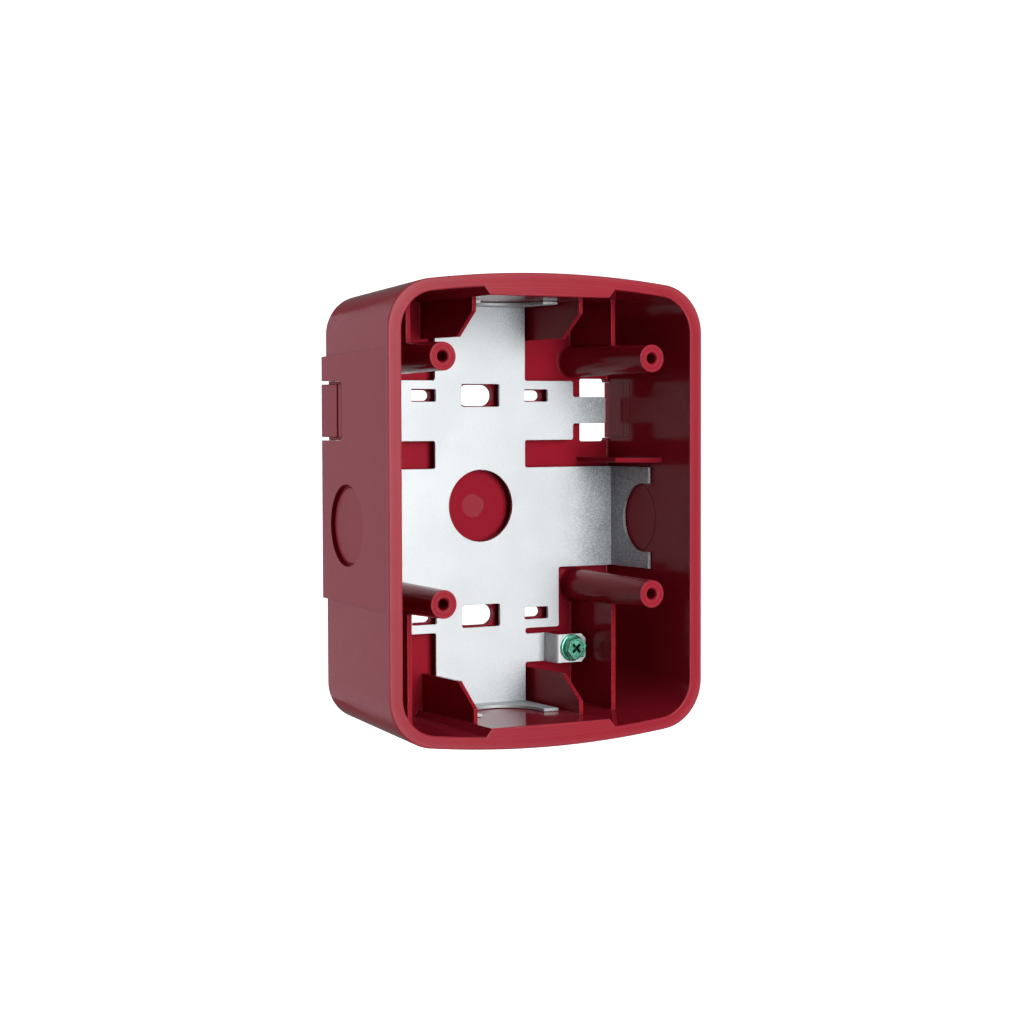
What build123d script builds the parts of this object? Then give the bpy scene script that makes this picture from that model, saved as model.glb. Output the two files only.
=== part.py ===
from build123d import *
from math import atan2, cos, degrees, sin, sqrt
import os

# Surface-mount back box for a wall horn strobe.
# Origin: centre of the back face, which lies on the wall plane (XZ).
# +Z is up, -Y is the open front, +X is to the right seen from the front.
# "Depth" below always means the distance in front of the wall plane.

os.makedirs("parts", exist_ok=True)

# ---------------------------------------------------------------- main body
DEPTH = 60.0             # wall plane to front rim
REAR_HALF_W = 60.4       # outer half width at the wall
FRONT_HALF_W = 64.6      # outer half width at the rim
REAR_HALF_H = 80.9       # outer half height at the wall, on the centre line
FRONT_HALF_H = 84.7      # outer half height at the rim, on the centre line
REAR_CORNER_R = 14.5
FRONT_CORNER_R = 18.0
ARCH_R = 400.0           # bow of the top and bottom walls
CAVITY_REAR_ARCH_R = 398.0
CAVITY_FRONT_ARCH_R = 396.0
BACK_T = 2.8             # back wall thickness
CAVITY_REAR_HALF_W = 59.1
CAVITY_FRONT_HALF_W = 59.4
CAVITY_REAR_HALF_H = 79.2
CAVITY_FRONT_HALF_H = 80.2
CAVITY_REAR_CORNER_R = 15.2
CAVITY_FRONT_CORNER_R = 13.8
CAVITY_ROOT_R = 0.8      # rounding where the back wall meets the side walls
RIM_OUTER_R = 0.5        # rounding of the rim's outer edge
RIM_INNER_R = 0.4
ROOT = 2.0               # inside features start this deep, within the back wall
CUT_MARGIN = 3.0         # cuts start and end this far clear of the material
CUT_REACH = 12.0         # a cut of this length clears any one wall

# thick flat land in the middle of the top and bottom walls
LAND_Z = 76.35
LAND_HALF_W = 24.5
LAND_SIDE_HALF_W = 26.8
LAND_FOOT_Z = 79.2

# raised pads on the side walls, which carry the raceway tab and the knockout
PAD_REAR_X = 62.25
PAD_FRONT_X = 64.4
PAD_REAR_Z = (-32.5, 55.7)
PAD_FRONT_Z = (-34.2, 58.0)
PAD_ROOT_X = 54.0        # inner end of the pad blocks, inside the cavity
PAD_END_DEPTH = 57.0

# ------------------------------------------------------------ screw posts
POST_X = 43.1            # half spacing across
POST_Z = 43.2            # half spacing up and down
POST_MID_Z = 11.6        # the posts sit above the box centre
POST_TIP_R = 5.05
POST_BASE_R = 6.25
POST_DEPTH = 59.3
PILOT_R = 1.95
PILOT_LENGTH = 30.0
PILOT_CHAMFER = 0.5
POST_FOOT = 0.7          # small sloped foot where a post meets the back wall

# ------------------------------------------------------- webs, fins and ribs
RIB_ROOT_R = 0.5         # rounding at the foot of webs and fins
WEB_T = 1.8
WEB_DEPTH = 32.5
WEB_END_Z = 77.9
FIN_X = 22.2
FIN_T = 1.6
FIN_DEPTH = 43.6
FIN_CUT_DEPTH = 31.4
FIN_LOW_Z = 62.6
FIN_CUT_Z = 71.5
FIN_END_Z = 77.6
SHELF_Z = 16.2
SHELF_T = 1.7
SHELF_X = 44.8
SHELF_WALL_X = 59.7
SHELF_DEPTH = 31.3
SHELF_WALL_DEPTH = 41.4

# short standoffs that hold the plate clear of the back wall
STANDOFF_R = 2.6
STANDOFF_SPACING_X = 25.0
STANDOFF_SPACING_Z = (116.0, 50.0)
STANDOFF_GAP = 0.05

# ----------------------------------------------------------- wall openings
SLOT_Z = 41.65           # half of the 83.3 mm single-gang screw spacing
WALL_SLOT = (15.4, 7.9)
SMALL_SLOT_X = 23.9
WALL_SMALL_SLOT = (9.8, 3.9)
WINDOW_X = (46.2, 58.05)
WINDOW_Z = (23.9, 48.2)
WINDOW_R = 0.9

# ---------------------------------------------------------------- knockouts
KO_R = 13.75             # disc
KO_HOLE_R = 13.95        # hole the disc sits in
KO_RECESS_R = 14.75      # recess around the disc, on the outside
KO_DEPTH = 22.8          # centre of the wall knockouts in front of the wall
KO_SIDE_Z = -5.1
KO_SIDE_FACE_X = 61.4
KO_SIDE_FLOOR_X = 60.8
KO_SIDE_INNER_X = 59.25
KO_END_FACE_Z = 79.4
KO_END_FLOOR_Z = 78.7
KO_END_INNER_Z = 76.45
KO_BACK_FACE = 0.6
KO_BACK_FLOOR = 1.3
KO_BACK_INSET = 0.1      # the back disc stops this far short of the inside face
BRIDGE_W = 1.2           # tear bridge between disc and recess wall
BRIDGE_GAP = 0.12
GATE_R = 4.5             # gate mark on the back disc
GATE_X = -1.2
GATE_DIP = 0.15
KO_EDGE_R = 0.35

# ------------------------------------------------------------ raceway tabs
NOTCH_Z = (25.2, 46.8)
NOTCH_DEPTH = 18.6
NOTCH_R = 1.3
NOTCH_REACH = 2.75       # half length of the cut through the side wall
TAB_Z = (26.4, 45.6)
TAB_DEPTH = (0.2, 13.7)
STRIP_DEPTH = (15.1, 17.8)
TAB_INNER_X = 59.15
TAB_OUTER_X = 62.6
STRIP_PROUD = 0.1        # the strip stands this much further out than the tab
SKIRT_T = 0.35           # thin floor of the break grooves
SKIRT_GAP = 0.06
TAB_EDGE_R = 0.6
STRIP_EDGE_R = 0.45

# ------------------------------------------------------------ backing plate
SHEET_T = 1.1
PLATE_DEPTH = 7.2        # front face of the plate
STRIP_HALF_W = 19.25
FLANGE_X = 58.95         # outer face of the side flanges
FLANGE_Z = 76.2          # outer face of the end flanges
SIDE_TIP_DEPTH = 33.8
END_TIP_DEPTH = 31.8
NOTCH_HALF = 13.1        # half width of the C notches
SIDE_NOTCH_DEPTH = 29.0  # centre of the round part of the notch
END_NOTCH_DEPTH = 26.5
ARM_Z = (-24.35, 14.2)   # wide centre arms
UPPER_ARM_Z = (24.65, 47.2)
UPPER_ARM_X = 40.6
TONGUE_Z = (30.9, 41.1)
TONGUE_X = 55.3
LOWER_ARM_Z = -47.3
LOWER_ARM_X = 34.0
CENTRE_HOLE_R = 13.65
PLATE_SLOT = (16.3, 8.55)
PLATE_SMALL_SLOT = (10.4, 4.7)
PLATE_SMALL_SLOT_X = 24.1
PLATE_CORNER_R = 0.9
PLATE_SLOT_R = 0.8
PLATE_SMALL_SLOT_R = 0.6
NOTCH_MOUTH = 20.0       # length of the straight mouth of a C notch
BEND_INNER_R = 0.4
BEND_OUTER_R = 1.5

# ground tab: a strip that steps forward and carries the ground screw
GROUND_Z = (-60.35, -49.5)
RISER_X = 28.65          # right face of the riser
GROUND_ROOT_X = 15.0     # the strip starts inside the centre strip
TAB_END_X = 40.3
TAB_FACE_DEPTH = 16.8
TAB_CORNER = 1.9

# ------------------------------------------------------------- ground screw
SCREW_X = 34.2
SCREW_Z = -54.7
SCREW_SHANK_R = 2.36
TAPPED_R = 2.44
THREAD_PITCH = 0.794     # 32 threads per inch
THREAD_ROOT_R = 2.0
THREAD_LEAD = 0.4        # plain length at the tip before the first crest
THREAD_RUNOUT = 1.4
THREAD_CREST = (0.35, 0.55)
SCREW_TIP_CHAMFER = 0.3
SCREW_LENGTH = 9.5
WASHER_R = 5.15
WASHER_T = 0.9
WASHER_EDGE_R = 0.4
HEAD_FLATS = 7.94
HEAD_T = 2.9
HEAD_DISH_R = 3.1
RECESS_SPAN = 4.7
RECESS_W = 1.35
RECESS_DEPTH = 1.9
BOSS_R = 5.4
BOSS_DEPTH = 15.6
BOSS_HOLE_R = 2.7
BOSS_HOLE_LENGTH = 11.0
BOSS_TAPER = 1.5
SEAT_GAP = 0.05          # between the washer face and the tab
HEAD_CHAMFER = 0.4
HEAD_TURN = 12           # rotation of the hexagon, in degrees
DISH_DEPTH = 0.45
DISH_TAPER = 30
RECESS_TAPER = 12


def at_depth(depth):
    """Plane parallel to the wall; local x is X and local y is Z."""
    return Plane.XZ.offset(depth)


def bowed_outline(half_w, half_h, corner_r, arch_r):
    """Rounded rectangle whose top and bottom edges bow outwards."""
    arch_z = half_h - arch_r
    cx = half_w - corner_r
    cz = arch_z + sqrt((arch_r - corner_r) ** 2 - cx ** 2)
    scale = arch_r / (arch_r - corner_r)
    tx = cx * scale
    tz = arch_z + (cz - arch_z) * scale
    mid = atan2(cz - arch_z, cx) / 2
    mx = cx + corner_r * cos(mid)
    mz = cz + corner_r * sin(mid)
    with BuildSketch() as outline:
        with BuildLine():
            Line((half_w, -cz), (half_w, cz))
            ThreePointArc((half_w, cz), (mx, mz), (tx, tz))
            ThreePointArc((tx, tz), (0, half_h), (-tx, tz))
            ThreePointArc((-tx, tz), (-mx, mz), (-half_w, cz))
            Line((-half_w, cz), (-half_w, -cz))
            ThreePointArc((-half_w, -cz), (-mx, -mz), (-tx, -tz))
            ThreePointArc((-tx, -tz), (0, -half_h), (tx, -tz))
            ThreePointArc((tx, -tz), (mx, -mz), (half_w, -cz))
        make_face()
    return outline.sketch


# ------------------------------------------------------------------- housing
rear_outline = bowed_outline(REAR_HALF_W, REAR_HALF_H, REAR_CORNER_R, ARCH_R)
front_outline = bowed_outline(FRONT_HALF_W, FRONT_HALF_H, FRONT_CORNER_R, ARCH_R)
cavity_rear = bowed_outline(
    CAVITY_REAR_HALF_W, CAVITY_REAR_HALF_H, CAVITY_REAR_CORNER_R, CAVITY_REAR_ARCH_R
)
cavity_front = bowed_outline(
    CAVITY_FRONT_HALF_W, CAVITY_FRONT_HALF_H, CAVITY_FRONT_CORNER_R, CAVITY_FRONT_ARCH_R
)

# cavity: opens forward, with the flat lands left standing top and bottom
with BuildPart() as cavity:
    with BuildSketch(at_depth(BACK_T)):
        add(cavity_rear)
    with BuildSketch(at_depth(DEPTH)):
        add(cavity_front)
    loft()
    fillet(cavity.edges().group_by(Axis.Y)[-1], radius=CAVITY_ROOT_R)
    with BuildSketch(at_depth(DEPTH)):
        add(cavity_front)
    extrude(amount=CUT_MARGIN)
    land_top = FRONT_HALF_H + CUT_MARGIN
    with BuildSketch(at_depth(BACK_T)):
        for side in (1, -1):
            with BuildLine():
                Polyline(
                    (-LAND_SIDE_HALF_W, side * land_top),
                    (-LAND_SIDE_HALF_W, side * LAND_FOOT_Z),
                    (-LAND_HALF_W, side * LAND_Z),
                    (LAND_HALF_W, side * LAND_Z),
                    (LAND_SIDE_HALF_W, side * LAND_FOOT_Z),
                    (LAND_SIDE_HALF_W, side * land_top),
                    close=True,
                )
            make_face()
    extrude(amount=DEPTH + CUT_MARGIN, mode=Mode.SUBTRACT)

with BuildPart() as housing:
    with BuildSketch(at_depth(0)):
        add(rear_outline)
    with BuildSketch(at_depth(DEPTH)):
        add(front_outline)
    loft()
    rim_edges = housing.edges().group_by(Axis.Y)[0]
    fillet(rim_edges, radius=RIM_OUTER_R)
    # side pads
    for side in (1, -1):
        with BuildSketch(at_depth(0)):
            with Locations((side * (PAD_REAR_X + PAD_ROOT_X) / 2, sum(PAD_REAR_Z) / 2)):
                Rectangle(PAD_REAR_X - PAD_ROOT_X, PAD_REAR_Z[1] - PAD_REAR_Z[0])
        with BuildSketch(at_depth(PAD_END_DEPTH)):
            with Locations((side * (PAD_FRONT_X + PAD_ROOT_X) / 2, sum(PAD_FRONT_Z) / 2)):
                Rectangle(PAD_FRONT_X - PAD_ROOT_X, PAD_FRONT_Z[1] - PAD_FRONT_Z[0])
        loft()
    add(cavity.part, mode=Mode.SUBTRACT)
    inner_rim = housing.edges().group_by(Axis.Y)[0]
    inner_rim = [
        e
        for e in inner_rim
        if abs(e.center().X) < CAVITY_FRONT_HALF_W + 1
        and abs(e.center().Z) < CAVITY_FRONT_HALF_H + 1
    ]
    fillet(inner_rim, radius=RIM_INNER_R)

    # four tapered posts for the device screws
    post_taper = degrees(atan2(POST_BASE_R - POST_TIP_R, POST_DEPTH - ROOT))
    with BuildSketch(at_depth(ROOT)):
        with Locations((0, POST_MID_Z)):
            with GridLocations(2 * POST_X, 2 * POST_Z, 2, 2):
                Circle(POST_BASE_R)
    extrude(amount=POST_DEPTH - ROOT, taper=post_taper)
    with BuildSketch(at_depth(BACK_T)):
        with Locations((0, POST_MID_Z)):
            with GridLocations(2 * POST_X, 2 * POST_Z, 2, 2):
                Circle(POST_BASE_R + POST_FOOT)
    extrude(amount=POST_FOOT, taper=45)

    # webs that tie each post to the top or bottom wall
    with BuildSketch(at_depth(ROOT)):
        for sx in (1, -1):
            for sz in (1, -1):
                near = POST_MID_Z + sz * POST_Z
                far = sz * WEB_END_Z
                with Locations((sx * POST_X, (near + far) / 2)):
                    Rectangle(WEB_T, abs(far - near))
    extrude(amount=WEB_DEPTH - ROOT)

    # chamfered fins on both sides of the end flanges
    for sx in (1, -1):
        for sz in (1, -1):
            with BuildSketch(Plane.YZ.offset(sx * FIN_X - FIN_T / 2)):
                with BuildLine():
                    Polyline(
                        (-ROOT, sz * FIN_LOW_Z),
                        (-FIN_CUT_DEPTH, sz * FIN_LOW_Z),
                        (-FIN_DEPTH, sz * FIN_CUT_Z),
                        (-FIN_DEPTH, sz * FIN_END_Z),
                        (-ROOT, sz * FIN_END_Z),
                        close=True,
                    )
                make_face()
            extrude(amount=FIN_T)

    # small rounding where the fins and webs stand on the back wall
    roots = []
    for e in housing.edges().filter_by(Axis.Z):
        at_root = abs(-e.center().Y - BACK_T) < 0.01
        x = abs(e.center().X)
        beside_fin = abs(abs(x - FIN_X) - FIN_T / 2) < 0.01
        beside_web = abs(abs(x - POST_X) - WEB_T / 2) < 0.01
        if at_root and (beside_fin or beside_web):
            roots.append(e)
    fillet(roots, radius=RIB_ROOT_R)

    # shelf ribs above the side flanges
    with BuildSketch(Plane.XY.offset(SHELF_Z)):
        for side in (1, -1):
            with BuildLine():
                Polyline(
                    (side * SHELF_X, -ROOT),
                    (side * SHELF_X, -SHELF_DEPTH),
                    (side * SHELF_WALL_X, -SHELF_WALL_DEPTH),
                    (side * (SHELF_WALL_X + 1), -SHELF_WALL_DEPTH),
                    (side * (SHELF_WALL_X + 0.3), -ROOT),
                    close=True,
                )
            make_face()
    extrude(amount=SHELF_T)

    # ground screw boss and plate standoffs
    with BuildSketch(at_depth(ROOT)):
        with Locations((SCREW_X, SCREW_Z)):
            Circle(BOSS_R)
    extrude(amount=BOSS_DEPTH - ROOT, taper=BOSS_TAPER)
    with BuildSketch(at_depth(ROOT)):
        for spacing_z in STANDOFF_SPACING_Z:
            with GridLocations(STANDOFF_SPACING_X, spacing_z, 2, 2):
                Circle(STANDOFF_R)
    extrude(amount=PLATE_DEPTH - SHEET_T - STANDOFF_GAP - ROOT)

    # pilot holes in the posts
    with BuildSketch(at_depth(POST_DEPTH - PILOT_LENGTH)):
        with Locations((0, POST_MID_Z)):
            with GridLocations(2 * POST_X, 2 * POST_Z, 2, 2):
                Circle(PILOT_R)
    extrude(amount=PILOT_LENGTH + 1, mode=Mode.SUBTRACT)
    with BuildSketch(at_depth(POST_DEPTH - PILOT_CHAMFER)):
        with Locations((0, POST_MID_Z)):
            with GridLocations(2 * POST_X, 2 * POST_Z, 2, 2):
                Circle(PILOT_R)
    extrude(amount=PILOT_CHAMFER, taper=-45, mode=Mode.SUBTRACT)

    # clearance hole for the tip of the ground screw
    with BuildSketch(at_depth(BOSS_DEPTH - BOSS_HOLE_LENGTH)):
        with Locations((SCREW_X, SCREW_Z)):
            Circle(BOSS_HOLE_R)
    extrude(amount=BOSS_HOLE_LENGTH + 1, mode=Mode.SUBTRACT)

    # wall screw slots and raceway windows in the back wall
    with BuildSketch(at_depth(-1)):
        with GridLocations(1, 2 * SLOT_Z, 1, 2):
            SlotOverall(WALL_SLOT[0], WALL_SLOT[1])
        with GridLocations(2 * SMALL_SLOT_X, 2 * SLOT_Z, 2, 2):
            SlotOverall(WALL_SMALL_SLOT[0], WALL_SMALL_SLOT[1])
        for side in (1, -1):
            with Locations((side * sum(WINDOW_X) / 2, sum(WINDOW_Z) / 2)):
                RectangleRounded(
                    WINDOW_X[1] - WINDOW_X[0], WINDOW_Z[1] - WINDOW_Z[0], WINDOW_R
                )
    extrude(amount=BACK_T + 1.5, mode=Mode.SUBTRACT)

    # raceway notches at the back edge of both side walls
    notch_mid_x = (TAB_INNER_X + PAD_REAR_X) / 2
    for side in (1, -1):
        with BuildSketch(Plane.YZ.offset(side * notch_mid_x)):
            with Locations(((CUT_MARGIN - NOTCH_DEPTH) / 2, sum(NOTCH_Z) / 2)):
                RectangleRounded(
                    NOTCH_DEPTH + CUT_MARGIN, NOTCH_Z[1] - NOTCH_Z[0], NOTCH_R
                )
        extrude(amount=NOTCH_REACH, both=True, mode=Mode.SUBTRACT)

    # knockout holes and their outside recesses: sides, then top and bottom
    for side in (1, -1):
        for radius, start in ((KO_HOLE_R, KO_SIDE_INNER_X - 1), (KO_RECESS_R, KO_SIDE_FLOOR_X)):
            with BuildSketch(Plane.YZ.offset(side * start)):
                with Locations((-KO_DEPTH, KO_SIDE_Z)):
                    Circle(radius)
            extrude(amount=side * CUT_REACH, mode=Mode.SUBTRACT)
        for radius, start in ((KO_HOLE_R, KO_END_INNER_Z - 1), (KO_RECESS_R, KO_END_FLOOR_Z)):
            with BuildSketch(Plane.XY.offset(side * start)):
                with Locations((0, -KO_DEPTH)):
                    Circle(radius)
            extrude(amount=side * CUT_REACH, mode=Mode.SUBTRACT)

    # back knockout hole and recess
    with BuildSketch(at_depth(-1)):
        Circle(KO_HOLE_R)
    extrude(amount=BACK_T + 2, mode=Mode.SUBTRACT)
    with BuildSketch(at_depth(-1)):
        Circle(KO_RECESS_R)
    extrude(amount=KO_BACK_FLOOR + 1, mode=Mode.SUBTRACT)

housing.part.label = "housing"
export_step(housing.part, "parts/housing.step")


# ------------------------------------------------------------- backing plate
plate_back = PLATE_DEPTH - SHEET_T
flange_in_x = FLANGE_X - SHEET_T
flange_in_z = FLANGE_Z - SHEET_T
arm_mid_z = sum(ARM_Z) / 2

with BuildPart() as backing_plate:
    # flat blank between the four bends
    with BuildSketch(at_depth(plate_back)):
        Rectangle(2 * STRIP_HALF_W, 2 * FLANGE_Z)
        with Locations((0, arm_mid_z)):
            Rectangle(2 * FLANGE_X, ARM_Z[1] - ARM_Z[0])
        with Locations((0, sum(UPPER_ARM_Z) / 2)):
            Rectangle(2 * UPPER_ARM_X, UPPER_ARM_Z[1] - UPPER_ARM_Z[0])
        with Locations((0, sum(TONGUE_Z) / 2)):
            Rectangle(2 * TONGUE_X, TONGUE_Z[1] - TONGUE_Z[0])
        with Locations((0, (LOWER_ARM_Z + ARM_Z[0]) / 2)):
            Rectangle(2 * LOWER_ARM_X, ARM_Z[0] - LOWER_ARM_Z)
        with Locations(((RISER_X + GROUND_ROOT_X) / 2, sum(GROUND_Z) / 2)):
            Rectangle(RISER_X - GROUND_ROOT_X, GROUND_Z[1] - GROUND_Z[0])
    extrude(amount=SHEET_T)
    outline_edges = backing_plate.edges().filter_by(Axis.Y)
    corners = []
    for e in outline_edges:
        x, z = abs(e.center().X), e.center().Z
        on_flange = x > FLANGE_X - 1 or abs(z) > FLANGE_Z - 1
        on_riser = e.center().X > RISER_X - 1 and GROUND_Z[0] - 1 < z < GROUND_Z[1] + 1
        if not on_flange and not on_riser:
            corners.append(e)
    fillet(corners, radius=PLATE_CORNER_R)

    # end flanges and side flanges
    with BuildSketch(at_depth(plate_back)):
        for side in (1, -1):
            with Locations((0, side * (FLANGE_Z - SHEET_T / 2))):
                Rectangle(2 * STRIP_HALF_W, SHEET_T)
    extrude(amount=END_TIP_DEPTH - plate_back)
    with BuildSketch(at_depth(plate_back)):
        for side in (1, -1):
            with Locations((side * (FLANGE_X - SHEET_T / 2), arm_mid_z)):
                Rectangle(SHEET_T, ARM_Z[1] - ARM_Z[0])
    extrude(amount=SIDE_TIP_DEPTH - plate_back)

    # raised ground tab
    with BuildSketch(at_depth(plate_back)):
        with Locations((RISER_X - SHEET_T / 2, sum(GROUND_Z) / 2)):
            Rectangle(SHEET_T, GROUND_Z[1] - GROUND_Z[0])
    extrude(amount=TAB_FACE_DEPTH - plate_back)
    with BuildSketch(at_depth(TAB_FACE_DEPTH - SHEET_T)):
        with Locations(((RISER_X - SHEET_T + TAB_END_X) / 2, sum(GROUND_Z) / 2)):
            Rectangle(TAB_END_X - RISER_X + SHEET_T, GROUND_Z[1] - GROUND_Z[0])
    extrude(amount=SHEET_T)
    tab_corners = backing_plate.edges().filter_by(Axis.Y)
    tab_corners = [e for e in tab_corners if abs(e.center().X - TAB_END_X) < 0.1]
    chamfer(tab_corners, length=TAB_CORNER)

    # bends: rounded outside and inside
    outer_bends = []
    inner_bends = []
    for e in backing_plate.edges().filter_by(Axis.X):
        y, z = -e.center().Y, abs(e.center().Z)
        if e.length > 30 and abs(y - plate_back) < 0.05 and abs(z - FLANGE_Z) < 0.05:
            outer_bends.append(e)
        if e.length > 30 and abs(y - PLATE_DEPTH) < 0.05 and abs(z - flange_in_z) < 0.05:
            inner_bends.append(e)
    for e in backing_plate.edges().filter_by(Axis.Z):
        x, y = abs(e.center().X), -e.center().Y
        if e.length > 30 and abs(y - plate_back) < 0.05 and abs(x - FLANGE_X) < 0.05:
            outer_bends.append(e)
        if e.length > 30 and abs(y - PLATE_DEPTH) < 0.05 and abs(x - flange_in_x) < 0.05:
            inner_bends.append(e)
        if abs(e.center().Z - sum(GROUND_Z) / 2) < 0.5 and e.length > 6:
            at_low = abs(y - plate_back) < 0.05 and abs(x - RISER_X) < 0.05
            at_high = abs(y - TAB_FACE_DEPTH) < 0.05 and abs(x - RISER_X + SHEET_T) < 0.05
            in_low = abs(y - PLATE_DEPTH) < 0.05 and abs(x - RISER_X + SHEET_T) < 0.05
            in_high = abs(y - TAB_FACE_DEPTH + SHEET_T) < 0.05 and abs(x - RISER_X) < 0.05
            if at_low or at_high:
                outer_bends.append(e)
            if in_low or in_high:
                inner_bends.append(e)
    fillet(outer_bends, radius=BEND_OUTER_R)
    fillet(inner_bends, radius=BEND_INNER_R)

    # C notches, open forward, that clear a conduit
    with BuildSketch(Plane.XY.offset(-FLANGE_Z - CUT_MARGIN)):
        with Locations((0, -END_NOTCH_DEPTH)):
            Circle(NOTCH_HALF)
        with Locations((0, -END_NOTCH_DEPTH - NOTCH_MOUTH / 2)):
            Rectangle(2 * NOTCH_HALF, NOTCH_MOUTH)
    extrude(amount=2 * (FLANGE_Z + CUT_MARGIN), mode=Mode.SUBTRACT)
    with BuildSketch(Plane.YZ.offset(-FLANGE_X - CUT_MARGIN)):
        with Locations((-SIDE_NOTCH_DEPTH, arm_mid_z)):
            Circle(NOTCH_HALF)
        with Locations((-SIDE_NOTCH_DEPTH - NOTCH_MOUTH / 2, arm_mid_z)):
            Rectangle(NOTCH_MOUTH, 2 * NOTCH_HALF)
    extrude(amount=2 * (FLANGE_X + CUT_MARGIN), mode=Mode.SUBTRACT)

    # slots and holes
    with BuildSketch(at_depth(PLATE_DEPTH - CUT_MARGIN)):
        Circle(CENTRE_HOLE_R)
        with GridLocations(1, 2 * SLOT_Z, 1, 2):
            RectangleRounded(PLATE_SLOT[0], PLATE_SLOT[1], PLATE_SLOT_R)
        with GridLocations(2 * PLATE_SMALL_SLOT_X, 2 * SLOT_Z, 2, 2):
            RectangleRounded(
                PLATE_SMALL_SLOT[0], PLATE_SMALL_SLOT[1], PLATE_SMALL_SLOT_R
            )
    extrude(amount=2 * CUT_MARGIN, mode=Mode.SUBTRACT)
    with BuildSketch(at_depth(PLATE_DEPTH + CUT_MARGIN)):
        with Locations((SCREW_X, SCREW_Z)):
            Circle(TAPPED_R)
    extrude(amount=TAB_FACE_DEPTH, mode=Mode.SUBTRACT)

backing_plate.part.label = "backing_plate"
export_step(backing_plate.part, "parts/backing_plate.step")


# -------------------------------------------------------------- ground screw
seat = TAB_FACE_DEPTH + SEAT_GAP
washer_top = seat + WASHER_T
head_top = washer_top + HEAD_T

with BuildPart() as ground_screw:
    # shank with a cut thread, revolved about the screw axis
    with BuildSketch(Plane.XY.offset(SCREW_Z)):
        with BuildLine():
            tip = seat - SCREW_LENGTH
            points = [(SCREW_X, -tip), (SCREW_X + THREAD_ROOT_R - SCREW_TIP_CHAMFER, -tip)]
            turns = int((SCREW_LENGTH - THREAD_RUNOUT) / THREAD_PITCH)
            for i in range(turns):
                d = tip + THREAD_LEAD + i * THREAD_PITCH
                points.append((SCREW_X + THREAD_ROOT_R, -d))
                for crest in THREAD_CREST:
                    points.append((SCREW_X + SCREW_SHANK_R, -d - crest * THREAD_PITCH))
            thread_end = tip + THREAD_LEAD + turns * THREAD_PITCH
            points.append((SCREW_X + THREAD_ROOT_R, -thread_end))
            points.append((SCREW_X + THREAD_ROOT_R, -seat))
            points.append((SCREW_X, -seat))
            Polyline(*points, close=True)
        make_face()
    revolve(axis=Axis((SCREW_X, 0, SCREW_Z), (0, 1, 0)))
    # washer flange
    with BuildSketch(at_depth(seat)):
        with Locations((SCREW_X, SCREW_Z)):
            Circle(WASHER_R)
    extrude(amount=WASHER_T)
    flange_edge = ground_screw.edges().filter_by(GeomType.CIRCLE).sort_by(Axis.Y)[0]
    fillet(flange_edge, radius=WASHER_EDGE_R)
    # hexagon head with a chamfered top edge
    with BuildSketch(at_depth(washer_top)):
        with Locations((SCREW_X, SCREW_Z)):
            RegularPolygon(HEAD_FLATS / 2, 6, major_radius=False, rotation=HEAD_TURN)
    extrude(amount=HEAD_T)
    chamfer(ground_screw.edges().group_by(Axis.Y)[0], length=HEAD_CHAMFER)
    with BuildSketch(at_depth(head_top)):
        with Locations((SCREW_X, SCREW_Z)):
            Circle(HEAD_DISH_R)
    extrude(amount=-DISH_DEPTH, taper=DISH_TAPER, mode=Mode.SUBTRACT)
    # cross recess, turned to 45 degrees
    with BuildSketch(at_depth(head_top)):
        with Locations((SCREW_X, SCREW_Z)):
            Rectangle(RECESS_SPAN, RECESS_W, rotation=45)
            Rectangle(RECESS_SPAN, RECESS_W, rotation=-45)
    extrude(amount=-RECESS_DEPTH, taper=RECESS_TAPER, mode=Mode.SUBTRACT)

ground_screw.part.label = "ground_screw"
export_step(ground_screw.part, "parts/ground_screw.step")


# ---------------------------------------------------------------- knockouts
def side_knockout(name, side):
    """Disc in a side wall, with two tear bridges in the groove."""
    floor = KO_SIDE_FLOOR_X + BRIDGE_GAP
    with BuildPart() as disc:
        with BuildSketch(Plane.YZ.offset(side * KO_SIDE_INNER_X)):
            with Locations((-KO_DEPTH, KO_SIDE_Z)):
                Circle(KO_R)
        extrude(amount=side * (KO_SIDE_FACE_X - KO_SIDE_INNER_X))
        face_edge = disc.edges().sort_by(Axis.X)
        fillet(face_edge[-1] if side > 0 else face_edge[0], radius=KO_EDGE_R)
        with BuildSketch(Plane.YZ.offset(side * floor)):
            with Locations((-KO_DEPTH, KO_SIDE_Z)):
                Rectangle(2 * (KO_RECESS_R - BRIDGE_GAP), BRIDGE_W)
        extrude(amount=side * (KO_SIDE_FACE_X - KO_EDGE_R - floor))
    disc.part.label = name
    export_step(disc.part, f"parts/{name}.step")


def end_knockout(name, side):
    """Disc in the top or bottom wall."""
    floor = KO_END_FLOOR_Z + BRIDGE_GAP
    with BuildPart() as disc:
        with BuildSketch(Plane.XY.offset(side * KO_END_INNER_Z)):
            with Locations((0, -KO_DEPTH)):
                Circle(KO_R)
        extrude(amount=side * (KO_END_FACE_Z - KO_END_INNER_Z))
        face_edge = disc.edges().sort_by(Axis.Z)
        fillet(face_edge[-1] if side > 0 else face_edge[0], radius=KO_EDGE_R)
        with BuildSketch(Plane.XY.offset(side * floor)):
            with Locations((0, -KO_DEPTH)):
                Rectangle(2 * (KO_RECESS_R - BRIDGE_GAP), BRIDGE_W)
        extrude(amount=side * (KO_END_FACE_Z - KO_EDGE_R - floor))
    disc.part.label = name
    export_step(disc.part, f"parts/{name}.step")


side_knockout("knockout_left", -1)
side_knockout("knockout_right", 1)
end_knockout("knockout_top", 1)
end_knockout("knockout_bottom", -1)

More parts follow.
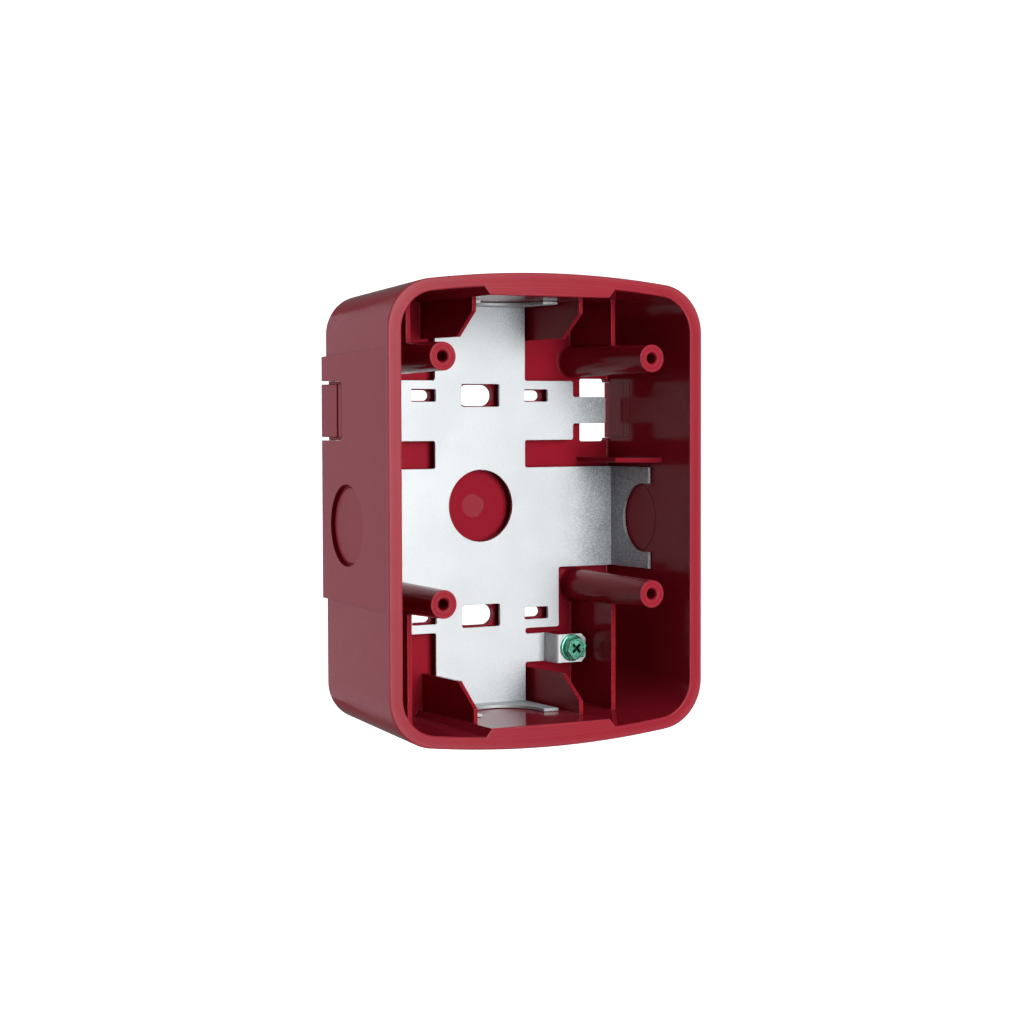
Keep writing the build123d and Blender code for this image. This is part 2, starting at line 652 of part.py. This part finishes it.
with BuildPart() as knockout_back:
    with BuildSketch(at_depth(KO_BACK_FACE)):
        Circle(KO_R)
    extrude(amount=BACK_T - KO_BACK_INSET - KO_BACK_FACE)
    rear_edge = knockout_back.edges().sort_by(Axis.Y)[-1]
    fillet(rear_edge, radius=KO_EDGE_R)
    with BuildSketch(at_depth(KO_BACK_FACE + KO_EDGE_R)):
        Rectangle(2 * (KO_RECESS_R - BRIDGE_GAP), BRIDGE_W)
    extrude(amount=KO_BACK_FLOOR - BRIDGE_GAP - KO_BACK_FACE - KO_EDGE_R)
    # round gate mark, a shallow dish on the inside face
    with BuildSketch(at_depth(BACK_T - KO_BACK_INSET)):
        with Locations((GATE_X, 0)):
            Circle(GATE_R)
    extrude(amount=-GATE_DIP, mode=Mode.SUBTRACT)

knockout_back.part.label = "knockout_back"
export_step(knockout_back.part, "parts/knockout_back.step")


# -------------------------------------------------------------- raceway tabs
def break_out(name, side, block, outer_x, edge_r, skirt):
    """Break-out piece of a raceway entry: a raised block on a thin skirt.

    block and skirt are ranges of depth. The skirt is the floor of the break groove
    around the block, and it lies flush with the inside of the wall.
    """
    thick = outer_x - TAB_INNER_X
    skirt_height = NOTCH_Z[1] - NOTCH_Z[0] - 2 * SKIRT_GAP
    with BuildPart() as piece:
        with BuildSketch(at_depth(block[0])):
            with Locations((side * (TAB_INNER_X + thick / 2), sum(TAB_Z) / 2)):
                Rectangle(thick, TAB_Z[1] - TAB_Z[0])
        extrude(amount=block[1] - block[0])
        faces = piece.faces().sort_by(Axis.X)
        outer_face = faces[-1] if side > 0 else faces[0]
        fillet(outer_face.edges(), radius=edge_r)
        with BuildSketch(at_depth(skirt[0])):
            with Locations((side * (TAB_INNER_X + SKIRT_T / 2), sum(NOTCH_Z) / 2)):
                Rectangle(SKIRT_T, skirt_height)
        extrude(amount=skirt[1] - skirt[0])
        if skirt[1] > STRIP_DEPTH[1]:
            far_corners = piece.edges().filter_by(Axis.X).group_by(Axis.Y)[0]
            fillet(far_corners, radius=NOTCH_R - SKIRT_GAP)
    piece.part.label = name
    export_step(piece.part, f"parts/{name}.step")


skirt_split = (TAB_DEPTH[1] + STRIP_DEPTH[0]) / 2
tab_skirt = (TAB_DEPTH[0], skirt_split - SKIRT_GAP / 2)
strip_skirt = (skirt_split + SKIRT_GAP / 2, NOTCH_DEPTH - SKIRT_GAP)
for side, hand in ((-1, "left"), (1, "right")):
    break_out(f"raceway_tab_{hand}", side, TAB_DEPTH, TAB_OUTER_X, TAB_EDGE_R, tab_skirt)
    strip_x = TAB_OUTER_X + STRIP_PROUD
    break_out(f"raceway_strip_{hand}", side, STRIP_DEPTH, strip_x, STRIP_EDGE_R, strip_skirt)
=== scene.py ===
"""Looks of a wall back box for a horn strobe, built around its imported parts.

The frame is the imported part's own: metres, +Z up, the open front towards -Y and the wall
plane at Y = 0.
"""

import math

import bpy
from mathutils import Matrix, Vector

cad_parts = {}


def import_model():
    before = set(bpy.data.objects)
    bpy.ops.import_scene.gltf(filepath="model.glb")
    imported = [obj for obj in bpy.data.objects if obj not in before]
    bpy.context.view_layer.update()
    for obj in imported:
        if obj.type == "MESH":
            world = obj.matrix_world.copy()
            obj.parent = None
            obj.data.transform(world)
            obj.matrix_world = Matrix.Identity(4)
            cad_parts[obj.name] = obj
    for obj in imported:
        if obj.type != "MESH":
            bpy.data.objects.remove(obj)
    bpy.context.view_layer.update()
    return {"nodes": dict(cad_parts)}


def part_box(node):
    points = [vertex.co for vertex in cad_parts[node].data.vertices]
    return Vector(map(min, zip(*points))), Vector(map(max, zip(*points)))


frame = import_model()
MM = 0.001

# The object's own sizes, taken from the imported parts.
HOUSING_LOW, HOUSING_HIGH = (Vector(corner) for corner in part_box("housing"))
SCREW_LOW, SCREW_HIGH = (Vector(corner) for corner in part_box("ground_screw"))
MID = (HOUSING_LOW + HOUSING_HIGH) / 2
SCREW_MID = (SCREW_LOW + SCREW_HIGH) / 2
FRONT_Y = HOUSING_LOW.y

# Camera, turned round the middle of the box. Lens and sensor are in millimetres.
CAMERA_AZIMUTH = math.radians(-29.3)
CAMERA_ELEVATION = math.radians(2.57)
CAMERA_ROLL = math.radians(-0.17)
CAMERA_DISTANCE = 0.8231
CAMERA_LENS = 78.2
CAMERA_SENSOR = 36
CAMERA_AIM = MID + Vector((1.8, 2.0, -1.6)) * MM

# Inner walls of the box: half width and half height of the cavity.
INSIDE_HALF_W = 60.2 * MM
INSIDE_HALF_H = 80.3 * MM

# Screw posts: half spacing across and up, and the middle of the four.
POST_X = 43.1 * MM
POST_Z = 43.2 * MM
POST_MID_Z = 11.6 * MM
POST_TIP_R = 5.0 * MM

# The rim's outline: corner rounding, and the bow of its top and bottom.
RIM_CORNER_R = 18 * MM
RIM_BOW_R = 400 * MM

# Gate mark on the back disc: its place across, its radius, and the two depths it lies between,
# clear of the disc's rear face.
GATE_X = -1.2 * MM
GATE_R = 4.2 * MM
GATE_FRONT_Y = -5.0 * MM
GATE_REAR_Y = -1.8 * MM

# Cross recess of the ground screw: its radius, and the depth of the dish that it starts from.
RECESS_R = 2.4 * MM
DISH_DEPTH = 0.48 * MM

# Rounding of edges in the materials
PLASTIC_EDGE_R = 0.45 * MM
SHEET_EDGE_R = 0.25 * MM

# Plastic colours
RED = (0.24, 0.0088, 0.0190, 1)
# Lighter red: the rim and post-tip tool marks, and the painted highlights on edges, on the rim's
# outer band and on the gate mark.
RED_MARKS_AND_HIGHLIGHT = (0.265, 0.045, 0.058, 1)
RED_DEEP = (0.228, 0.0082, 0.0178, 1)

# Zinc coating: plain; darker and speckled in painted shade; and a painted highlight at cut edges.
ZINC_LOW = (0.530, 0.556, 0.568, 1)
ZINC_HIGH = (0.575, 0.604, 0.616, 1)
SHADED_ZINC_LOW = (0.290, 0.312, 0.338, 1)
SHADED_ZINC_HIGH = (0.490, 0.520, 0.548, 1)
ZINC_EDGE_HIGHLIGHT = (0.75, 0.77, 0.78, 1)

# Green plating of the ground screw, and painted shade for its recess
GREEN = (0.12, 0.42, 0.30, 1)
GREEN_PALE = (0.16, 0.48, 0.36, 1)
GREEN_RECESS_SHADE = (0.012, 0.06, 0.03, 1)

# The painted edge highlight starts and is full where the rounded normal and the face's own meet at
# these cosines.
HIGHLIGHT_START = 0.98
HIGHLIGHT_FULL = 0.78
BEVEL_SAMPLES = 6

WHITE = (1, 1, 1, 1)


# --------------------------------------------------------------------- node helpers
def new_material(name):
    """A material with an empty tree and one principled shader."""
    material = bpy.data.materials.new(name)
    material.use_nodes = True
    tree = material.node_tree
    tree.nodes.clear()
    output = tree.nodes.new("ShaderNodeOutputMaterial")
    shader = tree.nodes.new("ShaderNodeBsdfPrincipled")
    tree.links.new(shader.outputs[0], output.inputs[0])
    return material, tree, shader


def plug(tree, value, socket):
    """Links a socket to a socket, or sets a plain value on it."""
    if isinstance(value, bpy.types.NodeSocket):
        tree.links.new(value, socket)
    else:
        socket.default_value = value


def maths(tree, operation, a, b=0.0):
    node = tree.nodes.new("ShaderNodeMath")
    node.operation = operation
    plug(tree, a, node.inputs[0])
    plug(tree, b, node.inputs[1])
    return node.outputs[0]


def product(tree, first, *others):
    """All the values multiplied together."""
    result = first
    for other in others:
        result = maths(tree, "MULTIPLY", result, other)
    return result


def ramp(tree, value, low, high, out_low=0.0, out_high=1.0):
    """Smooth step from out_low to out_high as value goes from low to high."""
    node = tree.nodes.new("ShaderNodeMapRange")
    node.interpolation_type = "SMOOTHSTEP"
    plug(tree, value, node.inputs["Value"])
    node.inputs["From Min"].default_value = low
    node.inputs["From Max"].default_value = high
    node.inputs["To Min"].default_value = out_low
    node.inputs["To Max"].default_value = out_high
    return node.outputs["Result"]


def mix_colour(tree, factor, a, b):
    node = tree.nodes.new("ShaderNodeMix")
    node.data_type = "RGBA"
    plug(tree, factor, node.inputs["Factor"])
    plug(tree, a, node.inputs[6])
    plug(tree, b, node.inputs[7])
    return node.outputs[2]


def mix_value(tree, factor, a, b):
    node = tree.nodes.new("ShaderNodeMix")
    node.data_type = "FLOAT"
    plug(tree, factor, node.inputs["Factor"])
    plug(tree, a, node.inputs[2])
    plug(tree, b, node.inputs[3])
    return node.outputs[0]


def coordinates(tree, scale=(1, 1, 1)):
    """The object's own coordinates in metres, stretched by scale."""
    place = tree.nodes.new("ShaderNodeTexCoord")
    mapping = tree.nodes.new("ShaderNodeMapping")
    mapping.inputs["Scale"].default_value = scale
    tree.links.new(place.outputs["Object"], mapping.inputs["Vector"])
    return mapping.outputs[0]


def noise(tree, scale, detail=3.0, roughness=0.6, stretch=(1, 1, 1)):
    """Soft noise with about scale lumps to the metre."""
    node = tree.nodes.new("ShaderNodeTexNoise")
    node.inputs["Scale"].default_value = scale
    node.inputs["Detail"].default_value = detail
    node.inputs["Roughness"].default_value = roughness
    tree.links.new(coordinates(tree, stretch), node.inputs["Vector"])
    return node.outputs[0]


def cell_tones(tree, scale):
    """One random grey per small cell, with about scale cells to the metre."""
    node = tree.nodes.new("ShaderNodeTexVoronoi")
    node.inputs["Scale"].default_value = scale
    tree.links.new(coordinates(tree), node.inputs["Vector"])
    grey = tree.nodes.new("ShaderNodeRGBToBW")
    tree.links.new(node.outputs["Color"], grey.inputs[0])
    return grey.outputs[0]


def axes(tree):
    """Separate X, Y and Z of the object's own coordinates."""
    place = tree.nodes.new("ShaderNodeTexCoord")
    split = tree.nodes.new("ShaderNodeSeparateXYZ")
    tree.links.new(place.outputs["Object"], split.inputs[0])
    return split.outputs


def rounded(tree, radius):
    """Surface normal with small rounded edges."""
    node = tree.nodes.new("ShaderNodeBevel")
    node.samples = BEVEL_SAMPLES
    node.inputs["Radius"].default_value = radius
    return node.outputs[0]


def bump(tree, height, distance, strength=1.0, normal=None):
    node = tree.nodes.new("ShaderNodeBump")
    node.inputs["Distance"].default_value = distance
    node.inputs["Strength"].default_value = strength
    plug(tree, height, node.inputs["Height"])
    if normal is not None:
        plug(tree, normal, node.inputs["Normal"])
    return node.outputs[0]


def painted_edge_highlight(tree, smooth_normal):
    """Painted edge highlight: 1 where the rounded normal leaves the face's own one, so along the
    edges, convex and concave alike.
    """
    geometry = tree.nodes.new("ShaderNodeNewGeometry")
    node = tree.nodes.new("ShaderNodeVectorMath")
    node.operation = "DOT_PRODUCT"
    tree.links.new(smooth_normal, node.inputs[0])
    tree.links.new(geometry.outputs["Normal"], node.inputs[1])
    return ramp(tree, node.outputs["Value"], HIGHLIGHT_START, HIGHLIGHT_FULL)


def length_2d(tree, a, b):
    """Distance from the origin to the point a, b."""
    return maths(tree, "SQRT", maths(tree, "ADD", product(tree, a, a), product(tree, b, b)))


def line_noise(tree, distance):
    """Uneven fine lines along places at an equal distance."""
    node = tree.nodes.new("ShaderNodeTexNoise")
    node.noise_dimensions = "1D"
    node.inputs["Scale"].default_value = 1500
    node.inputs["Detail"].default_value = 2
    tree.links.new(distance, node.inputs["W"])
    return node.outputs[0]


# ------------------------------------------------------------------ places on the box
def inside_box(tree, y, across, up):
    """1 on the smooth walls inside the cavity, 0 outside and on the rim."""
    soft = 0.5 * MM
    within_x = ramp(tree, across, INSIDE_HALF_W + soft, INSIDE_HALF_W)
    within_z = ramp(tree, up, INSIDE_HALF_H + soft, INSIDE_HALF_H)
    behind_rim = ramp(tree, y, FRONT_Y + 0.4 * MM, FRONT_Y + 0.8 * MM)
    return product(tree, within_x, within_z, behind_rim)


def rim_lines_and_highlight(tree, across, up):
    """Uneven lines that follow the rim's bowed outline, and a painted highlight band at its outer
    edge.
    """
    bow = maths(tree, "DIVIDE", product(tree, across, across), 2 * RIM_BOW_R)
    raised = maths(tree, "ADD", up, bow)
    over_x = maths(tree, "SUBTRACT", across, HOUSING_HIGH.x - RIM_CORNER_R)
    over_z = maths(tree, "SUBTRACT", raised, HOUSING_HIGH.z - RIM_CORNER_R)
    ring = length_2d(tree, maths(tree, "MAXIMUM", over_x, 0.0), maths(tree, "MAXIMUM", over_z, 0.0))
    outer_edge_highlight = ramp(tree, ring, RIM_CORNER_R - 1.4 * MM, RIM_CORNER_R - 0.9 * MM, 0.0, 0.40)
    lines = ramp(tree, line_noise(tree, ring), 0.45, 0.75, 0.0, 0.32)
    return maths(tree, "MAXIMUM", lines, outer_edge_highlight)


def post_rings(tree, y, across, z):
    """Uneven rings on the tips of the four screw posts, and nothing away from them."""
    from_middle = maths(tree, "ABSOLUTE", maths(tree, "SUBTRACT", z, POST_MID_Z))
    off_x = maths(tree, "SUBTRACT", across, POST_X)
    off_z = maths(tree, "SUBTRACT", from_middle, POST_Z)
    far = length_2d(tree, off_x, off_z)
    on_tip = ramp(tree, y, FRONT_Y + 1.1 * MM, FRONT_Y + 0.9 * MM)
    near_post = ramp(tree, far, POST_TIP_R + 0.3 * MM, POST_TIP_R)
    return product(tree, line_noise(tree, far), near_post, on_tip)


def gate_mark(tree, x, y, z):
    """1 on the round gate mark in the middle of the back disc's front."""
    far = length_2d(tree, maths(tree, "SUBTRACT", x, GATE_X), z)
    near_back = ramp(tree, y, GATE_FRONT_Y - 1.0 * MM, GATE_FRONT_Y)
    off_rear_face = ramp(tree, y, GATE_REAR_Y + 0.4 * MM, GATE_REAR_Y)
    return product(tree, ramp(tree, far, GATE_R + 0.4 * MM, GATE_R), near_back, off_rear_face)


# ----------------------------------------------------------------------- materials
def red_plastic():
    """Moulded red plastic: grained outside, smooth and glossy inside."""
    material, tree, shader = new_material("moulded_red_plastic")
    x, y, z = axes(tree)
    across = maths(tree, "ABSOLUTE", x)
    up = maths(tree, "ABSOLUTE", z)
    inside = inside_box(tree, y, across, up)
    outside = maths(tree, "SUBTRACT", 1.0, inside)
    smooth_edges = rounded(tree, PLASTIC_EDGE_R)
    plastic_edge_highlight = painted_edge_highlight(tree, smooth_edges)
    rim = ramp(tree, y, FRONT_Y + 0.7 * MM, FRONT_Y + 0.5 * MM)
    # lines: the rim's tool marks together with the painted highlight band at its outer edge; it also
    # drives a bump.
    lines = product(tree, rim, rim_lines_and_highlight(tree, across, up))
    tips = ramp(tree, post_rings(tree, y, across, z), 0.4, 0.7, 0.0, 0.5)

    mottle = noise(tree, 38, 4)
    colour = mix_colour(tree, ramp(tree, mottle, 0.35, 0.7), RED, RED_DEEP)
    colour = mix_colour(tree, lines, colour, RED_MARKS_AND_HIGHLIGHT)
    colour = mix_colour(tree, tips, colour, RED_MARKS_AND_HIGHLIGHT)
    # Painted highlight: convex and concave edges drawn lighter red where light catches their
    # rounding.
    colour = mix_colour(tree, product(tree, plastic_edge_highlight, 0.6), colour, RED_MARKS_AND_HIGHLIGHT)
    # Painted highlight: the gate mark drawn lighter for the sheen its rougher surface catches.
    colour = mix_colour(tree, product(tree, gate_mark(tree, x, y, z), 0.5), colour, RED_MARKS_AND_HIGHLIGHT)
    plug(tree, colour, shader.inputs["Base Color"])

    blotch = noise(tree, 210)
    outer_rough = ramp(tree, blotch, 0.3, 0.7, 0.28, 0.31)
    inner_rough = ramp(tree, blotch, 0.3, 0.7, 0.10, 0.14)
    plug(tree, mix_value(tree, inside, outer_rough, inner_rough), shader.inputs["Roughness"])

    ripple = noise(tree, 95, 2, 0.4, stretch=(1, 0.3, 1))
    grain = noise(tree, 2600, 2)
    normal = bump(tree, ripple, 0.10 * MM, 0.10, smooth_edges)
    normal = bump(tree, lines, 0.06 * MM, 0.3, normal)
    normal = bump(tree, product(tree, grain, outside), 0.05 * MM, 0.35, normal)
    plug(tree, normal, shader.inputs["Normal"])

    outer_shine = mix_value(tree, rim, 0.26, 0.17)
    plug(tree, mix_value(tree, inside, outer_shine, 0.11), shader.inputs["Specular IOR Level"])
    return material


def zinc_sheet():
    """Zinc-coated sheet steel with a fine spangle, and painted shade, darker and more speckled, at
    its right arms and the right of its top and bottom, where the box's walls shade it.
    """
    material, tree, shader = new_material("zinc_coated_sheet")
    x, _, z = axes(tree)
    spangle = product(tree, cell_tones(tree, 2600), 0.5)
    fine = product(tree, noise(tree, 3000), 0.5)
    tone = maths(tree, "ADD", spangle, fine)
    patch = noise(tree, 45)

    # Painted shade: where the right wall and the top and bottom walls shade the sheet, it is drawn
    # darker and more speckled.
    right_arms = ramp(tree, x, 30 * MM, 52 * MM)
    far_up_or_down = ramp(tree, maths(tree, "ABSOLUTE", z), 54 * MM, 78 * MM)
    right_half = ramp(tree, x, -4 * MM, 22 * MM)
    ends = product(tree, far_up_or_down, right_half)
    patchy = ramp(tree, patch, 0.2, 0.6, 0.5, 1.0)
    painted_shade = product(tree, maths(tree, "MAXIMUM", right_arms, ends), patchy)

    plain = mix_colour(tree, ramp(tree, tone, 0.3, 0.7), ZINC_LOW, ZINC_HIGH)
    shaded_mottle = mix_colour(tree, ramp(tree, tone, 0.35, 0.65), SHADED_ZINC_LOW, SHADED_ZINC_HIGH)
    colour = mix_colour(tree, painted_shade, plain, shaded_mottle)
    # Painted highlight: all the sheet's edges drawn paler, as bright cut edges.
    edge = rounded(tree, SHEET_EDGE_R)
    sheet_edge_highlight = product(tree, painted_edge_highlight(tree, edge), 0.5)
    plug(tree, mix_colour(tree, sheet_edge_highlight, colour, ZINC_EDGE_HIGHLIGHT), shader.inputs["Base Color"])

    fine_rough = ramp(tree, tone, 0.3, 0.7, 0.67, 0.71)
    broad_rough = ramp(tree, patch, 0.35, 0.65, -0.01, 0.02)
    plug(tree, maths(tree, "ADD", fine_rough, broad_rough), shader.inputs["Roughness"])
    shader.inputs["Metallic"].default_value = 1.0
    plug(tree, bump(tree, tone, 0.02 * MM, 0.5, edge), shader.inputs["Normal"])
    return material


def green_zinc():
    """Green-dyed zinc plating on the ground screw, with painted shade darkening it down in its
    recess.
    """
    material, tree, shader = new_material("green_zinc_plate")
    x, y, z = axes(tree)
    off_x = maths(tree, "SUBTRACT", x, SCREW_MID.x)
    off_z = maths(tree, "SUBTRACT", z, SCREW_MID.z)
    near_axis = ramp(tree, length_2d(tree, off_x, off_z), RECESS_R + 0.2 * MM, RECESS_R)
    dish_y = SCREW_LOW.y + DISH_DEPTH
    below_dish = ramp(tree, y, dish_y, dish_y + 0.14 * MM)
    film = noise(tree, 300)
    colour = mix_colour(tree, ramp(tree, film, 0.35, 0.65), GREEN, GREEN_PALE)
    # Painted shade: the cross recess below its dish drawn nearly black green.
    colour = mix_colour(tree, product(tree, near_axis, below_dish), colour, GREEN_RECESS_SHADE)
    plug(tree, colour, shader.inputs["Base Color"])
    plug(tree, ramp(tree, film, 0.3, 0.7, 0.24, 0.30), shader.inputs["Roughness"])
    shader.inputs["Metallic"].default_value = 0.85
    return material


def dress(names, material):
    """Gives the named parts one material."""
    for name in names:
        node = frame["nodes"][name]
        node.data.materials.clear()
        node.data.materials.append(material)


RED_NODES = [name for name in frame["nodes"] if name not in ("backing_plate", "ground_screw")]
dress(RED_NODES, red_plastic())
dress(["backing_plate"], zinc_sheet())
dress(["ground_screw"], green_zinc())


# --------------------------------------------------------------------------- stage
def backdrop():
    """Pale floor that curves up into a pale wall far behind the object. It shows in no reflection."""
    floor_z = HOUSING_LOW.z - 0.30
    half_w, front, back = 3.0, -2.2, 1.6
    height, bend, steps = 2.6, 0.6, 16
    profile = [(front, floor_z), (back - bend, floor_z)]
    for i in range(1, steps + 1):
        a = i / steps * math.pi / 2
        profile.append((back - bend + bend * math.sin(a), floor_z + bend * (1 - math.cos(a))))
    profile.append((back, floor_z + height))
    verts = [(side * half_w, y, z) for y, z in profile for side in (-1, 1)]
    faces = [(2 * i, 2 * i + 1, 2 * i + 3, 2 * i + 2) for i in range(len(profile) - 1)]
    mesh = bpy.data.meshes.new("backdrop")
    mesh.from_pydata(verts, [], faces)
    mesh.polygons.foreach_set("use_smooth", [True] * len(faces))
    thing = bpy.data.objects.new("backdrop", mesh)
    bpy.context.collection.objects.link(thing)
    material, tree, shader = new_material("pale_backdrop")
    shader.inputs["Base Color"].default_value = (0.9, 0.9, 0.9, 1)
    shader.inputs["Roughness"].default_value = 0.9
    shader.inputs["Emission Color"].default_value = WHITE
    y = axes(tree)[1]
    plug(tree, ramp(tree, y, -0.5, 0.9, 0.8, 0.9), shader.inputs["Emission Strength"])
    mesh.materials.append(material)
    thing.visible_glossy = False
    thing.visible_diffuse = False


def softbox(name, azimuth, elevation, distance, size, power, colour=(1, 1, 1), glossy=True):
    """An area light round the object; azimuth 0 is straight in front."""
    light = bpy.data.lights.new(name, "AREA")
    light.shape = "RECTANGLE"
    light.size, light.size_y = size
    light.energy = power
    light.color = colour
    a, e = math.radians(azimuth), math.radians(elevation)
    away = Vector((math.sin(a) * math.cos(e), -math.cos(a) * math.cos(e), math.sin(e)))
    thing = bpy.data.objects.new(name, light)
    thing.location = MID + away * distance
    thing.rotation_mode = "QUATERNION"
    thing.rotation_quaternion = (-away).to_track_quat("-Z", "Y")
    thing.visible_camera = False
    thing.visible_glossy = glossy
    bpy.context.collection.objects.link(thing)


def world():
    """White behind everything for the camera, and a faint even light for the object."""
    sky = bpy.data.worlds.new("studio")
    bpy.context.scene.world = sky
    sky.use_nodes = True
    tree = sky.node_tree
    seen = tree.nodes.new("ShaderNodeLightPath").outputs["Is Camera Ray"]
    background = tree.nodes["Background"]
    background.inputs["Color"].default_value = WHITE
    plug(tree, ramp(tree, seen, 0.0, 1.0, 0.18, 0.97), background.inputs["Strength"])


def camera():
    """Camera to the left of the open front and a little above the middle."""
    data = bpy.data.cameras.new("camera")
    data.lens = CAMERA_LENS
    data.sensor_width = CAMERA_SENSOR
    data.clip_start, data.clip_end = 0.01, 20
    thing = bpy.data.objects.new("camera", data)
    away = Vector((
        math.sin(CAMERA_AZIMUTH) * math.cos(CAMERA_ELEVATION),
        -math.cos(CAMERA_AZIMUTH) * math.cos(CAMERA_ELEVATION),
        math.sin(CAMERA_ELEVATION),
    ))
    look = (-away).to_track_quat("-Z", "Y").to_matrix().to_4x4()
    thing.matrix_world = (
        Matrix.Translation(CAMERA_AIM + away * CAMERA_DISTANCE) @ look
        @ Matrix.Rotation(CAMERA_ROLL, 4, "Z")
    )
    bpy.context.collection.objects.link(thing)
    bpy.context.scene.camera = thing


backdrop()
world()

# Lights: azimuth and elevation in degrees, distance and size in metres, power in watts.
softbox("key", 8, 7, 1.1, (0.50, 0.80), 16.4)
softbox("upper", 8, 50, 1.1, (0.5, 0.4), 1.0)
softbox("right", 60, 0, 1.1, (0.4, 0.6), 2.6)
softbox("left", -100, -4, 1.1, (0.5, 0.9), 8.0, (1.0, 0.99, 1.02))
softbox("back_left", -150, 0, 1.2, (1.0, 1.3), 2.5, (0.94, 0.98, 1.1))
softbox("right_side", 112, 12, 1.2, (0.6, 0.8), 5.0, glossy=False)
softbox("rear", 180, 20, 1.3, (0.6, 0.8), 6.0, glossy=False)

camera()
bpy.context.scene.view_settings.view_transform = "Standard"
